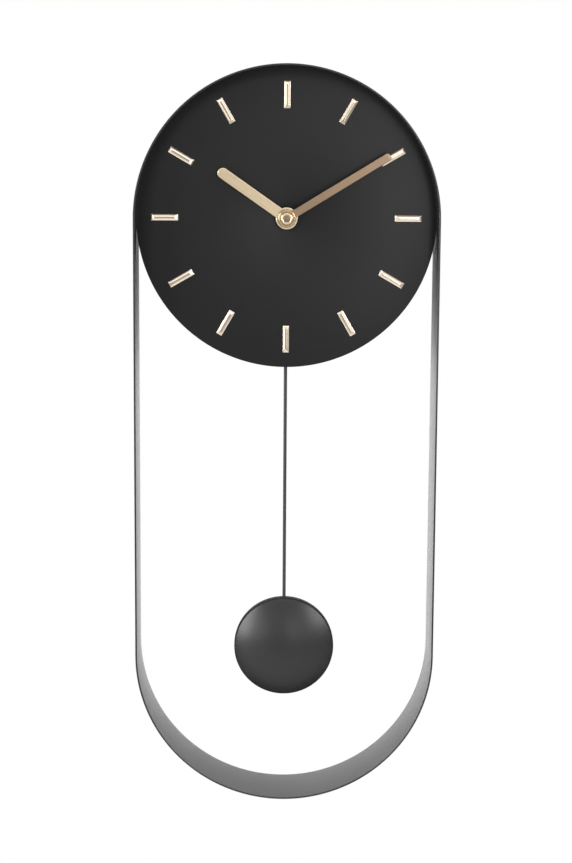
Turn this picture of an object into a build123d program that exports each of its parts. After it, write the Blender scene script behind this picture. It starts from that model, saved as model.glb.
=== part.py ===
"""Pendulum wall clock: a racetrack hoop of flat steel band, a round recessed dial with applied
bar markers, two hands on a quartz movement, and a pendulum with a domed bob that hangs below.

Millimetres. X runs right, Z up, and Y into the wall. The origin is the centre of the keyhole, on the
wall plane. Depths are written as distances out from the wall, so a piece at depth 10 has y = -10.
"""
import math
import os

from build123d import *

# Hoop of flat band
BAND_WIDTH = 203.0
BAND_HEIGHT = 500.0
BAND_DEPTH = 48.0
BAND_THICK = 1.2

# Dial and its applied markers
DIAL_RECESS = 22.0
DIAL_THICK = 1.0
MARKER_COUNT = 12
MARKER_LENGTH = 18.0
MARKER_WIDTH = 4.1
MARKER_SIDE = 0.7
MARKER_BEVEL_HEIGHT = 0.35
MARKER_SIDE_INSET = 1.65
MARKER_END_INSET = 2.2
MARKER_RIM_GAP = 9.8
MARKER_FOOT_R = 0.6
MARKER_FOOT_SPACING = 10.0

# Brackets that join the dial and the wall hanger to the band
BRACKET_THICK = 1.5
BRACKET_HALF_ANGLE = 6.0
BRACKET_REACH = 12.0
BRACKET_FOOT = 10.0
BRACKET_ANGLES = {"left": 165.0, "top": 90.0, "right": 15.0}
HANGER_HALF_ANGLE = 13.0
HANGER_FOOT = 14.0
HANGER_MARGIN = 12.0
KEYHOLE_DROP = 20.3
KEYHOLE_R = 4.5
KEYHOLE_SLOT_R = 2.2
KEYHOLE_SLOT_RISE = 8.0

# Movement housing, placed from the dial's centre
GASKET_THICK = 1.0
GASKET_R = 15.0
HOUSING_THICK = 20.0
HOUSING_WALL = 1.6
HOUSING_WIDTH = 62.0
HOUSING_TOP = 30.0
HOUSING_BOTTOM = -33.0
HOUSING_CORNER = 3.0
CHAMBER_WIDTH = 40.0
CHAMBER_BOTTOM = -66.0
SCREW_R = 1.1
SCREW_HEAD_R = 2.2
SCREW_HEAD = 1.3
SCREW_LENGTH = 8.0
POST_R = 2.6
POST_INSET = 2.1

# Centre bush, its fasteners and the hands
RUNNING_GAP = 0.06
BUSH_R = 5.0
BUSH_FLANGE_R = 7.0
BUSH_FLANGE = 1.2
BUSH_PROUD = 5.0
WASHER_R = 7.0
WASHER_THICK = 0.8
NUT_FLATS = 12.0
NUT_THICK = 2.5
ARBOR_R = 1.6
HOUR_PIPE_R = 2.6
HOUR_HAND_LENGTH = 55.4
HOUR_HAND_WIDTH = 7.2
HOUR_BOSS_R = 7.3
MINUTE_HAND_LENGTH = 80.0
MINUTE_HAND_WIDTH = 5.2
MINUTE_BOSS_R = 6.0
MINUTE_TIP_R = 1.6
HAND_THICK = 0.9
HAND_STEP = 1.0
HAND_NUT_R = 3.85
HAND_NUT_DISH_R = 2.45
HAND_NUT_THICK = 2.0
HAND_NUT_DISH = 0.7
HAND_NUT_ROUND = 0.6
HOUR_HAND_ANGLE = 304.9
MINUTE_HAND_ANGLE = 58.5

# Motion work: the gears that turn the hour hand once for twelve turns of the minute hand
GEAR_CENTRES = 9.0
CANNON_TEETH = 12
MINUTE_WHEEL_TEETH = 36
MINUTE_PINION_TEETH = 10
HOUR_WHEEL_TEETH = 40
SETTING_TEETH = 12
GEAR_FACE = 1.8
WHEEL_GAP = 1.0
HOUR_WHEEL_GAP = 1.2
GEAR_PIN_R = 0.8
SETTING_SHAFT_R = 1.2
KNOB_R = 6.0
KNOB_THICK = 2.4
KNOB_NOTCHES = 16
KNOB_NOTCH_R = 0.7
KNOB_GAP = 0.4

# Drive and battery
DRIVE_THICK = 6.4
DRIVE_GAP = 0.2
BATTERY_R = 7.2
BATTERY_LENGTH = 49.3
BATTERY_NUB_R = 2.7
BATTERY_NUB = 1.0
BATTERY_Z = -21.5
BATTERY_GAP = 0.3
CONTACT_THICK = 0.5
BOARD_THICK = 1.6
COIL_R = 3.5
COIL_LENGTH = 20.0
COIL_Z = 21.0
COIL_CHEEK = 1.0
CORE_OVERHANG = 4.0
CORE_LEG = 3.0

# Pendulum
PIVOT_Z = -38.0
PIVOT_R = 0.9
LEADER_HUB_R = 3.2
LEADER_WIDTH = 4.0
LEADER_THICK = 2.0
LEADER_DEPTH = 13.0
LEADER_END = -78.0
EYE_R = 2.6
EYE_RIM = 2.0
HOOK_BEND_R = 3.0
HOOK_TAIL = 4.0
HOOK_REST = 0.02
ROD_R = 1.15
MAGNET_R = 4.0
MAGNET_THICK = 3.0
MAGNET_Z = -56.0
PULSE_COIL_R = 7.0
PULSE_COIL_BORE_R = 2.5
MAGNET_GAP = 0.7
SLOT_HALF_WIDTH = 8.0
BOB_DROP = 297.6
BOB_R = 34.5
BOB_CROWN_R = 62.0
BOB_EDGE_R = 1.5
BOB_WALL = 0.8
BOB_RIM = 4.4
BOB_ROD_COVER = 0.2
BOB_BACK_THICK = 1.0
BOB_SOCKET_WIDTH = 8.0
BOB_SOCKET_HEIGHT = 14.0

# Places that follow from the sizes above
BAND_R = BAND_WIDTH / 2
BAND_INNER_R = BAND_R - BAND_THICK
BAND_STRAIGHT = BAND_HEIGHT - BAND_WIDTH
DIAL_Z = KEYHOLE_DROP - BAND_INNER_R
LOWER_Z = DIAL_Z - BAND_STRAIGHT
DIAL_R = BAND_INNER_R
MARKER_RADIUS = DIAL_R - MARKER_RIM_GAP - MARKER_LENGTH / 2
DIAL_FRONT = BAND_DEPTH - DIAL_RECESS
DIAL_BACK = DIAL_FRONT - DIAL_THICK
HOUSING_FRONT = DIAL_BACK - GASKET_THICK
FLOOR_DEPTH = HOUSING_FRONT - HOUSING_WALL
COVER_BACK = HOUSING_FRONT - HOUSING_THICK
COVER_FRONT = COVER_BACK + HOUSING_WALL
BUSH_END = DIAL_FRONT + BUSH_PROUD
HOUR_HAND_DEPTH = BUSH_END + HAND_STEP
MINUTE_HAND_DEPTH = HOUR_HAND_DEPTH + HAND_THICK + 2 * HAND_STEP
HAND_NUT_DEPTH = MINUTE_HAND_DEPTH + HAND_THICK
DRIVE_DEPTH = COVER_FRONT + DRIVE_GAP
WHEEL_DEPTH = DRIVE_DEPTH + DRIVE_THICK + WHEEL_GAP
HOUR_WHEEL_DEPTH = FLOOR_DEPTH - BUSH_FLANGE - HOUR_WHEEL_GAP - GEAR_FACE
MODULE_SLOW = 2 * GEAR_CENTRES / (CANNON_TEETH + MINUTE_WHEEL_TEETH)
MODULE_FAST = 2 * GEAR_CENTRES / (MINUTE_PINION_TEETH + HOUR_WHEEL_TEETH)
SETTING_X = GEAR_CENTRES + MODULE_SLOW * (MINUTE_WHEEL_TEETH + SETTING_TEETH) / 2
ROD_DEPTH = LEADER_DEPTH + HOOK_BEND_R
BOB_Z = DIAL_Z - BOB_DROP
EYE_Z = DIAL_Z + LEADER_END + EYE_RIM + EYE_R
BOB_EQUATOR = ROD_DEPTH + ROD_R + BOB_ROD_COVER
BATTERY_DEPTH = COVER_FRONT + BATTERY_R + BATTERY_GAP
BAY_HALF = BATTERY_LENGTH / 2 + BATTERY_NUB + 3 * CONTACT_THICK


def slab(sketch, depth, thick):
    """A flat piece parallel to the wall, from a depth out from the wall to depth + thick."""
    return extrude(Plane.XZ.offset(depth) * sketch, amount=thick)


def rod_y(radius, depth, end, x=0.0, z=0.0):
    """A round rod square to the wall, between two depths."""
    return slab(Pos(x, z) * Circle(radius), depth, end - depth)


def tube_y(outer, inner, depth, end, x=0.0, z=0.0):
    """A round tube square to the wall, between two depths."""
    return slab(Pos(x, z) * (Circle(outer) - Circle(inner)), depth, end - depth)


def block(x0, x1, depth, end, z0, z1):
    """A rectangular block between two places on each axis, placed from the dial's centre."""
    return slab(Pos((x0 + x1) / 2, DIAL_Z + (z0 + z1) / 2) * Rectangle(x1 - x0, z1 - z0), depth, end - depth)


def clock_face(angle):
    """Turns a sketch that points to 12 to a clockwise angle, about the dial's centre."""
    return Pos(0, DIAL_Z) * Rot(0, 0, -angle)


def racetrack(radius):
    """The hoop's outline at a radius: two half circles joined by straight sides."""
    return Pos(0, (DIAL_Z + LOWER_Z) / 2) * Rot(0, 0, 90) * SlotCenterToCenter(BAND_STRAIGHT, 2 * radius)


def ring_sector(outer, inner, middle, half_angle):
    """Part of a ring about the dial's centre, as wide as twice half_angle in degrees."""
    first, last = math.radians(middle - half_angle), math.radians(middle + half_angle)
    turns = (first, math.radians(middle), last)
    ends = [(radius * math.cos(turn), radius * math.sin(turn)) for radius in (outer, inner) for turn in turns]
    edges = [
        ThreePointArc(ends[0], ends[1], ends[2]),
        Line(ends[2], ends[5]),
        ThreePointArc(ends[5], ends[4], ends[3]),
        Line(ends[3], ends[0]),
    ]
    return Pos(0, DIAL_Z) * make_face(edges)


# Hoop and dial

def hoop_band():
    return slab(racetrack(BAND_R) - racetrack(BAND_INNER_R), 0, BAND_DEPTH)


def marker_feet():
    """Places of a marker's two feet, for a marker at 12."""
    return [(0, MARKER_RADIUS + side * MARKER_FOOT_SPACING / 2) for side in (-1, 1)]


def dial_plate():
    sketch = Pos(0, DIAL_Z) * (Circle(DIAL_R) - Circle(BUSH_R + 2 * RUNNING_GAP))
    for hour in range(MARKER_COUNT):
        for foot in marker_feet():
            sketch -= clock_face(hour * 360 / MARKER_COUNT) * Pos(*foot) * Circle(MARKER_FOOT_R)
    return slab(sketch, DIAL_BACK, DIAL_THICK)


def hour_marker(hour):
    """A bar with four bevelled sides and two feet that pass through the dial."""
    turn = clock_face(hour * 360 / MARKER_COUNT)
    middle = turn * Pos(0, MARKER_RADIUS)
    base = middle * Rectangle(MARKER_WIDTH, MARKER_LENGTH)
    flat = middle * Rectangle(MARKER_WIDTH - 2 * MARKER_SIDE_INSET, MARKER_LENGTH - 2 * MARKER_END_INSET)
    bar = slab(base, DIAL_FRONT, MARKER_SIDE)
    shoulder = Plane.XZ.offset(DIAL_FRONT + MARKER_SIDE)
    top = loft([shoulder * base, shoulder.offset(MARKER_BEVEL_HEIGHT) * flat])
    feet = [slab(turn * Pos(*foot) * Circle(MARKER_FOOT_R), DIAL_BACK, DIAL_THICK) for foot in marker_feet()]
    return bar + top + feet


def dial_bracket(angle):
    """An angle bracket behind the dial: a tab on the dial's back and a foot on the band's inside."""
    tab = ring_sector(BAND_INNER_R, BAND_INNER_R - BRACKET_REACH, angle, BRACKET_HALF_ANGLE)
    foot = ring_sector(BAND_INNER_R, BAND_INNER_R - BRACKET_THICK, angle, BRACKET_HALF_ANGLE)
    bracket = slab(tab, DIAL_BACK - BRACKET_THICK, BRACKET_THICK)
    return bracket + slab(foot, DIAL_BACK - BRACKET_FOOT, BRACKET_FOOT)


def hanger_bracket():
    """The wall hanger: a plate on the wall plane with a keyhole, and a foot under the top of the band."""
    reach = KEYHOLE_DROP + KEYHOLE_R + HANGER_MARGIN
    plate = ring_sector(BAND_INNER_R, BAND_INNER_R - reach, 90, HANGER_HALF_ANGLE)
    foot = ring_sector(BAND_INNER_R, BAND_INNER_R - BRACKET_THICK, 90, HANGER_HALF_ANGLE)
    slot = Pos(0, KEYHOLE_SLOT_RISE / 2) * Rectangle(2 * KEYHOLE_SLOT_R, KEYHOLE_SLOT_RISE)
    slot += Pos(0, KEYHOLE_SLOT_RISE) * Circle(KEYHOLE_SLOT_R)
    return slab(plate - Circle(KEYHOLE_R) - slot, 0, BRACKET_THICK) + slab(foot, 0, HANGER_FOOT)


# Movement housing

def housing_outline(inset=0.0):
    """The movement's outline: a wide box for the clock, with a narrower pendulum chamber below."""
    wide = HOUSING_WIDTH - 2 * inset
    tall = HOUSING_TOP - HOUSING_BOTTOM - 2 * inset
    narrow = CHAMBER_WIDTH - 2 * inset
    deep = HOUSING_TOP - CHAMBER_BOTTOM - 2 * inset
    corner = HOUSING_CORNER - inset / 2
    clock = Pos(0, (HOUSING_TOP + HOUSING_BOTTOM) / 2) * RectangleRounded(wide, tall, corner)
    chamber = Pos(0, (HOUSING_TOP + CHAMBER_BOTTOM) / 2) * RectangleRounded(narrow, deep, corner)
    return Pos(0, DIAL_Z) * (clock + chamber)


def screw_places():
    """The four cover screws: two in the upper corners, two at the foot of the pendulum chamber."""
    inset = HOUSING_WALL + POST_INSET
    upper = (HOUSING_WIDTH / 2 - inset, HOUSING_TOP - inset)
    lower = (CHAMBER_WIDTH / 2 - inset, CHAMBER_BOTTOM + inset)
    return [(side * x, DIAL_Z + z) for x, z in (upper, lower) for side in (-1, 1)]


def front_housing():
    """An open-backed tray with its floor to the dial, ribs round the battery, and screw posts."""
    tray = slab(housing_outline(), COVER_FRONT, HOUSING_FRONT - COVER_FRONT)
    tray -= slab(housing_outline(HOUSING_WALL), COVER_FRONT, FLOOR_DEPTH - COVER_FRONT)
    inside = HOUSING_WIDTH / 2 - HOUSING_WALL
    bay_half_height = BATTERY_R + BATTERY_GAP
    for low in (BATTERY_Z + bay_half_height, BATTERY_Z - bay_half_height - HOUSING_WALL):
        tray += block(-inside, inside, COVER_FRONT, FLOOR_DEPTH, low, low + HOUSING_WALL)
    for x, z in screw_places():
        tray += tube_y(POST_R, SCREW_R, COVER_FRONT, FLOOR_DEPTH, x, z)
    pivot_end = WHEEL_DEPTH + 2 * GEAR_FACE
    tray += tube_y(2 * SETTING_SHAFT_R, GEAR_PIN_R + RUNNING_GAP, pivot_end, FLOOR_DEPTH, SETTING_X, DIAL_Z)
    tray -= rod_y(BUSH_R, FLOOR_DEPTH, HOUSING_FRONT, 0, DIAL_Z)
    slot_top = CHAMBER_BOTTOM + HOUSING_WALL
    slot_depth = LEADER_THICK + 2 * HOUSING_WALL
    start = LEADER_DEPTH - slot_depth / 2
    half = SLOT_HALF_WIDTH
    return tray - block(-half, half, start, start + slot_depth, CHAMBER_BOTTOM, slot_top)


def rear_cover():
    """The flat back of the movement, open over the battery and bored for the setting shaft."""
    cover = slab(housing_outline(), COVER_BACK, HOUSING_WALL)
    bay = BATTERY_R + BATTERY_GAP
    cover -= block(-BAY_HALF, BAY_HALF, COVER_BACK, COVER_FRONT, BATTERY_Z - bay, BATTERY_Z + bay)
    cover -= rod_y(SETTING_SHAFT_R + RUNNING_GAP, COVER_BACK, COVER_FRONT, SETTING_X, DIAL_Z)
    for x, z in screw_places():
        cover -= rod_y(SCREW_R, COVER_BACK, COVER_FRONT, x, z)
    return cover


def cover_screws():
    """Four self-tapping screws with slotted pan heads, outside the rear cover."""
    screws = []
    for x, z in screw_places():
        top = COVER_BACK - SCREW_HEAD
        head = slab(Pos(x, z) * Circle(SCREW_HEAD_R), top, SCREW_HEAD)
        slot = slab(Pos(x, z) * Rectangle(2 * SCREW_HEAD_R, SCREW_R / 2), top, SCREW_HEAD / 2)
        screws.append(head - slot + rod_y(SCREW_R, COVER_BACK, COVER_BACK + SCREW_LENGTH, x, z))
    return Compound(children=screws)


def dial_gasket():
    return tube_y(GASKET_R, BUSH_R + RUNNING_GAP, HOUSING_FRONT, DIAL_BACK, 0, DIAL_Z)


def centre_bush():
    """The threaded bush that clamps the dial to the movement and carries the hour pipe."""
    bore_r = HOUR_PIPE_R + RUNNING_GAP
    flange = tube_y(BUSH_FLANGE_R, bore_r, FLOOR_DEPTH - BUSH_FLANGE, FLOOR_DEPTH, 0, DIAL_Z)
    return flange + tube_y(BUSH_R, bore_r, FLOOR_DEPTH, BUSH_END, 0, DIAL_Z)


def dial_washer():
    return tube_y(WASHER_R, BUSH_R, DIAL_FRONT, DIAL_FRONT + WASHER_THICK, 0, DIAL_Z)


def dial_nut():
    hexagon = RegularPolygon(NUT_FLATS / 2, 6, major_radius=False) - Circle(BUSH_R)
    return slab(Pos(0, DIAL_Z) * hexagon, DIAL_FRONT + WASHER_THICK, NUT_THICK)


# Hands and motion work

def hand(length, width, boss_r, tip_r, bore_r):
    """The outline of a hand that points to 12: a round boss, a bore, and a tip whose corners have tip_r."""
    blade = Pos(0, length / 2) * Rectangle(width, length)
    tip = blade.vertices().sort_by(Axis.Y)[-2:]
    return fillet(tip, tip_r) + Circle(boss_r) - Circle(bore_r)


def hour_hand():
    tip_r = 0.49 * HOUR_HAND_WIDTH
    outline = hand(HOUR_HAND_LENGTH, HOUR_HAND_WIDTH, HOUR_BOSS_R, tip_r, HOUR_PIPE_R)
    return slab(clock_face(HOUR_HAND_ANGLE) * outline, HOUR_HAND_DEPTH, HAND_THICK)


def minute_hand():
    outline = hand(MINUTE_HAND_LENGTH, MINUTE_HAND_WIDTH, MINUTE_BOSS_R, MINUTE_TIP_R, ARBOR_R)
    return slab(clock_face(MINUTE_HAND_ANGLE) * outline, MINUTE_HAND_DEPTH, HAND_THICK)


def hand_nut():
    """The round nut that holds the minute hand, dished round the end of the arbor."""
    end = HAND_NUT_DEPTH + HAND_NUT_THICK
    nut = tube_y(HAND_NUT_R, ARBOR_R, HAND_NUT_DEPTH, end, 0, DIAL_Z)
    front_edges = nut.edges().filter_by(GeomType.CIRCLE).group_by(Axis.Y)[0]
    nut = fillet(front_edges.sort_by(SortBy.RADIUS)[-1:], HAND_NUT_ROUND)
    return nut - rod_y(HAND_NUT_DISH_R, end - HAND_NUT_DISH, end, 0, DIAL_Z)


def gear(teeth, module, phase):
    """A gear's outline at the origin, with one tooth at an angle phase in degrees.

    Each tooth is drawn through its width at the root, at the pitch circle and at the tip. The widths are
    shares of the tooth's angular pitch, and together leave the backlash that a clock's gears run with.
    """
    pitch = module * teeth / 2
    stations = [(pitch - 1.25 * module, 0.27), (pitch, 0.19), (pitch + 0.8 * module, 0.08)]
    rising = [(radius, -share) for radius, share in stations]
    falling = [(radius, share) for radius, share in reversed(stations)]
    points = []
    for tooth in range(teeth):
        for radius, share in rising + falling:
            angle = math.radians(phase) + (tooth + share) * 2 * math.pi / teeth
            points.append((radius * math.cos(angle), radius * math.sin(angle)))
    return make_face(Polyline(points, close=True))


def minute_arbor():
    """The arbor through the movement, with the cannon pinion near its inner end."""
    tip = HAND_NUT_DEPTH + HAND_NUT_THICK - HAND_NUT_DISH
    teeth = Pos(0, DIAL_Z) * gear(CANNON_TEETH, MODULE_SLOW, 0)
    pinion = slab(teeth, WHEEL_DEPTH - GEAR_FACE / 4, 1.5 * GEAR_FACE)
    return pinion + rod_y(ARBOR_R, DRIVE_DEPTH + DRIVE_GAP, tip, 0, DIAL_Z)


def minute_wheel():
    """The wheel driven by the cannon pinion, with the pinion that drives the hour wheel, on one bore."""
    wheel = gear(MINUTE_WHEEL_TEETH, MODULE_SLOW, 180 + 180 / MINUTE_WHEEL_TEETH)
    pinion = gear(MINUTE_PINION_TEETH, MODULE_FAST, 180)
    place = Pos(GEAR_CENTRES, DIAL_Z)
    pinion_end = HOUR_WHEEL_DEPTH + GEAR_FACE + DRIVE_GAP
    pair = slab(place * wheel, WHEEL_DEPTH, GEAR_FACE)
    pair += slab(place * pinion, WHEEL_DEPTH + GEAR_FACE, pinion_end - WHEEL_DEPTH - GEAR_FACE)
    return pair - rod_y(GEAR_PIN_R + RUNNING_GAP, WHEEL_DEPTH, pinion_end, GEAR_CENTRES, DIAL_Z)


def hour_wheel():
    """The hour wheel and the pipe that carries the hour hand, turning on the minute arbor."""
    wheel = gear(HOUR_WHEEL_TEETH, MODULE_FAST, 180 / HOUR_WHEEL_TEETH) - Circle(ARBOR_R + RUNNING_GAP)
    pipe_end = HOUR_HAND_DEPTH + HAND_THICK + HAND_STEP / 2
    pipe = tube_y(HOUR_PIPE_R, ARBOR_R + RUNNING_GAP, HOUR_WHEEL_DEPTH, pipe_end, 0, DIAL_Z)
    return slab(Pos(0, DIAL_Z) * wheel, HOUR_WHEEL_DEPTH, GEAR_FACE) + pipe


def minute_wheel_pin():
    return rod_y(GEAR_PIN_R, COVER_FRONT, FLOOR_DEPTH, GEAR_CENTRES, DIAL_Z)


def setting_phase():
    """The angle of a setting pinion tooth that puts a gap opposite the minute wheel's tooth."""
    wheel_pitch = 360 / MINUTE_WHEEL_TEETH
    ahead = (180 + wheel_pitch / 2) % wheel_pitch
    return 180 - ahead * MINUTE_WHEEL_TEETH / SETTING_TEETH + 180 / SETTING_TEETH


def setting_knob():
    """The time-setting knob on the back, its shaft, and the pinion that turns the minute wheel."""
    knob_end = COVER_BACK - KNOB_GAP
    rim = Circle(KNOB_R)
    for notch in range(KNOB_NOTCHES):
        rim -= Rot(0, 0, notch * 360 / KNOB_NOTCHES) * Pos(KNOB_R, 0) * Circle(KNOB_NOTCH_R)
    place = Pos(SETTING_X, DIAL_Z)
    teeth = place * gear(SETTING_TEETH, MODULE_SLOW, setting_phase())
    pinion_end = WHEEL_DEPTH + 1.5 * GEAR_FACE
    knob = slab(place * rim, knob_end - KNOB_THICK, KNOB_THICK)
    knob += rod_y(SETTING_SHAFT_R, knob_end, WHEEL_DEPTH, SETTING_X, DIAL_Z)
    knob += slab(teeth, WHEEL_DEPTH, pinion_end - WHEEL_DEPTH)
    return knob + rod_y(GEAR_PIN_R, pinion_end, FLOOR_DEPTH - GEAR_FACE, SETTING_X, DIAL_Z)


# Drive and battery

def drive_unit():
    """The sealed reduction unit behind the arbor, with the stepping motor's rotor and fast wheels inside."""
    low, high = BATTERY_Z + BATTERY_R + 2 * HOUSING_WALL, COIL_Z - COIL_R - 4 * BOARD_THICK
    left = HOUSING_WIDTH / 2 - 2 * HOUSING_WALL
    unit = block(-left, GEAR_CENTRES - 2 * GEAR_FACE, DRIVE_DEPTH, DRIVE_DEPTH + DRIVE_THICK, low, high)
    return unit - rod_y(ARBOR_R + RUNNING_GAP, DRIVE_DEPTH, DRIVE_DEPTH + DRIVE_THICK, 0, DIAL_Z)


def coil_depth():
    return DRIVE_DEPTH + DRIVE_THICK / 2 + BOARD_THICK + COIL_R


def circuit_board():
    half = HOUSING_WIDTH / 2 - HOUSING_WALL - 3 * POST_R
    bottom, top = COIL_Z - COIL_R - 2 * BOARD_THICK, COIL_Z + COIL_R + BOARD_THICK
    start = DRIVE_DEPTH + DRIVE_THICK / 2 - BOARD_THICK
    return block(-half, half, start, start + BOARD_THICK, bottom, top)


def motor_coil():
    """The stepping motor's winding on its bobbin, open for the core."""
    axis = Plane(origin=(-COIL_LENGTH / 2, -coil_depth(), DIAL_Z + COIL_Z), z_dir=(1, 0, 0))
    winding = extrude(axis * (Circle(COIL_R) - Circle(COIL_R / 3)), amount=COIL_LENGTH)
    cheek = extrude(axis * (Circle(COIL_R + COIL_CHEEK) - Circle(COIL_R / 3)), amount=COIL_CHEEK)
    return winding + cheek + Pos(COIL_LENGTH - COIL_CHEEK, 0, 0) * cheek


def motor_core():
    """The soft iron core through the coil, which stands on the circuit board at both ends."""
    reach = COIL_LENGTH / 2 + CORE_OVERHANG
    axis = Plane(origin=(-reach, -coil_depth(), DIAL_Z + COIL_Z), z_dir=(1, 0, 0))
    core = extrude(axis * Circle(COIL_R / 3), amount=2 * reach)
    board_front = DRIVE_DEPTH + DRIVE_THICK / 2
    half = CORE_LEG / 2
    low, high = COIL_Z - CORE_OVERHANG / 2, COIL_Z + CORE_OVERHANG / 2
    for side in (-1, 1):
        x = side * (reach - half)
        core += block(x - half, x + half, board_front, coil_depth() + COIL_R / 3, low, high)
    return core


def battery():
    """A round cell, lying across the movement in its bay."""
    axis = Plane(origin=(-BATTERY_LENGTH / 2, -BATTERY_DEPTH, DIAL_Z + BATTERY_Z), z_dir=(1, 0, 0))
    cell = extrude(axis * Circle(BATTERY_R), amount=BATTERY_LENGTH)
    return cell + extrude(axis.offset(BATTERY_LENGTH) * Circle(BATTERY_NUB_R), amount=BATTERY_NUB)


def contact(side):
    """A spring strip that touches one end of the cell: -1 is the plain end and 1 the end with the nub."""
    touch = BATTERY_LENGTH / 2 + (BATTERY_NUB if side > 0 else 0) + BATTERY_GAP / 3
    inside = HOUSING_WIDTH / 2 - HOUSING_WALL
    half = BATTERY_R / 2
    depth, end = BATTERY_DEPTH - half, FLOOR_DEPTH
    strip = block(touch, touch + CONTACT_THICK, depth, end, BATTERY_Z - half, BATTERY_Z + half)
    strip += block(touch, inside, end - CONTACT_THICK, end, BATTERY_Z - half, BATTERY_Z + half)
    return strip if side > 0 else mirror(strip, Plane.YZ)


# Pendulum

def pivot_pin():
    return rod_y(PIVOT_R, COVER_FRONT, FLOOR_DEPTH, 0, DIAL_Z + PIVOT_Z)


def pendulum_leader():
    """The arm that the drive swings: a hub on the pivot pin, a blade, and an eye for the rod's hook."""
    pivot = DIAL_Z + PIVOT_Z
    start = LEADER_DEPTH - LEADER_THICK / 2
    blade_top, blade_low = pivot, EYE_Z
    blade = Pos(0, (blade_top + blade_low) / 2) * Rectangle(LEADER_WIDTH, blade_top - blade_low)
    outline = blade + Pos(0, EYE_Z) * Circle(EYE_R + EYE_RIM)
    arm = slab(outline - Pos(0, EYE_Z) * Circle(EYE_R), start, LEADER_THICK)
    arm += rod_y(LEADER_HUB_R, start - LEADER_THICK / 2, start + 1.5 * LEADER_THICK, 0, pivot)
    return arm - rod_y(PIVOT_R + RUNNING_GAP, start - LEADER_THICK, start + 2 * LEADER_THICK, 0, pivot)


def pendulum_magnet():
    start = LEADER_DEPTH + LEADER_THICK / 2
    return rod_y(MAGNET_R, start, start + MAGNET_THICK, 0, DIAL_Z + MAGNET_Z)


def pulse_coil():
    """The coil that pushes the pendulum's magnet, fixed to the movement's floor."""
    start = LEADER_DEPTH + LEADER_THICK / 2 + MAGNET_THICK + MAGNET_GAP
    return tube_y(PULSE_COIL_R, PULSE_COIL_BORE_R, start, FLOOR_DEPTH, 0, DIAL_Z + MAGNET_Z)


def hook_bend():
    """Height of the centre of the hook's bend, whose wire rests on both edges of the leader's eye."""
    inside = HOOK_BEND_R - ROD_R
    return EYE_Z - EYE_R + HOOK_REST - math.sqrt(inside**2 - (LEADER_THICK / 2) ** 2)


def pendulum_rod():
    """One wire: a hook through the leader's eye, then straight down into the bob's socket."""
    bend = hook_bend()
    tail_depth = ROD_DEPTH - 2 * HOOK_BEND_R
    foot = BOB_Z - BOB_SOCKET_HEIGHT / 2
    over = (0, -LEADER_DEPTH, bend + HOOK_BEND_R)
    path = Line((0, -ROD_DEPTH, foot), (0, -ROD_DEPTH, bend))
    path += ThreePointArc((0, -ROD_DEPTH, bend), over, (0, -tail_depth, bend))
    path += Line((0, -tail_depth, bend), (0, -tail_depth, bend - HOOK_TAIL))
    return sweep(Plane(origin=(0, -ROD_DEPTH, foot), z_dir=(0, 0, 1)) * Circle(ROD_R), path=path)


def turned(profile):
    """A solid of revolution from a profile of (radius, depth), about the bob's axis."""
    return Pos(0, 0, BOB_Z) * Rot(0, 0, 180) * revolve(profile, Axis.Y)


def dome(inset, floor):
    """Half the bob's section: a flat floor, a short rim, a rounded edge, and a shallow crown."""
    crown_r, edge_r = BOB_CROWN_R - inset, BOB_EDGE_R - inset
    edge_centre = BOB_R - BOB_EDGE_R
    drop = math.sqrt((BOB_CROWN_R - BOB_EDGE_R) ** 2 - edge_centre**2)
    crown_centre = BOB_EQUATOR - drop
    lean = math.atan2(edge_centre, drop)
    middle = (lean + math.pi / 2) / 2
    join = (crown_r * math.sin(lean), crown_centre + crown_r * math.cos(lean))
    half_crown = (crown_r * math.sin(lean / 2), crown_centre + crown_r * math.cos(lean / 2))
    half_edge = (edge_centre + edge_r * math.sin(middle), BOB_EQUATOR + edge_r * math.cos(middle))
    rim = edge_centre + edge_r
    apex = (0, crown_centre + crown_r)
    return make_face([
        Line((0, floor), (rim, floor)),
        Line((rim, floor), (rim, BOB_EQUATOR)),
        ThreePointArc((rim, BOB_EQUATOR), half_edge, join),
        ThreePointArc(join, half_crown, apex),
        Line(apex, (0, floor)),
    ])


def bob_floor():
    return BOB_EQUATOR - BOB_RIM


def bob_shell():
    """The pressed front of the bob, hollow behind, with a hole in its rim for the rod."""
    shell = turned(dome(0, bob_floor()) - dome(BOB_WALL, bob_floor()))
    rim_hole = Plane(origin=(0, -ROD_DEPTH, BOB_Z + BOB_R / 2)) * Circle(ROD_R + RUNNING_GAP)
    return shell - extrude(rim_hole, amount=BOB_R)


def bob_back():
    """The flat back that closes the bob, with the socket that grips the rod."""
    plate = rod_y(BOB_R - BOB_WALL, bob_floor(), bob_floor() + BOB_BACK_THICK, 0, BOB_Z)
    half = BOB_SOCKET_WIDTH / 2
    socket_start = bob_floor() + BOB_BACK_THICK
    socket_thick = ROD_DEPTH + 2 * ROD_R - socket_start
    socket = slab(Pos(0, BOB_Z) * Rectangle(2 * half, BOB_SOCKET_HEIGHT), socket_start, socket_thick)
    bore = Plane(origin=(0, -ROD_DEPTH, BOB_Z - BOB_SOCKET_HEIGHT / 2)) * Circle(ROD_R)
    return plate + socket - extrude(bore, amount=BOB_SOCKET_HEIGHT)


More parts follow.
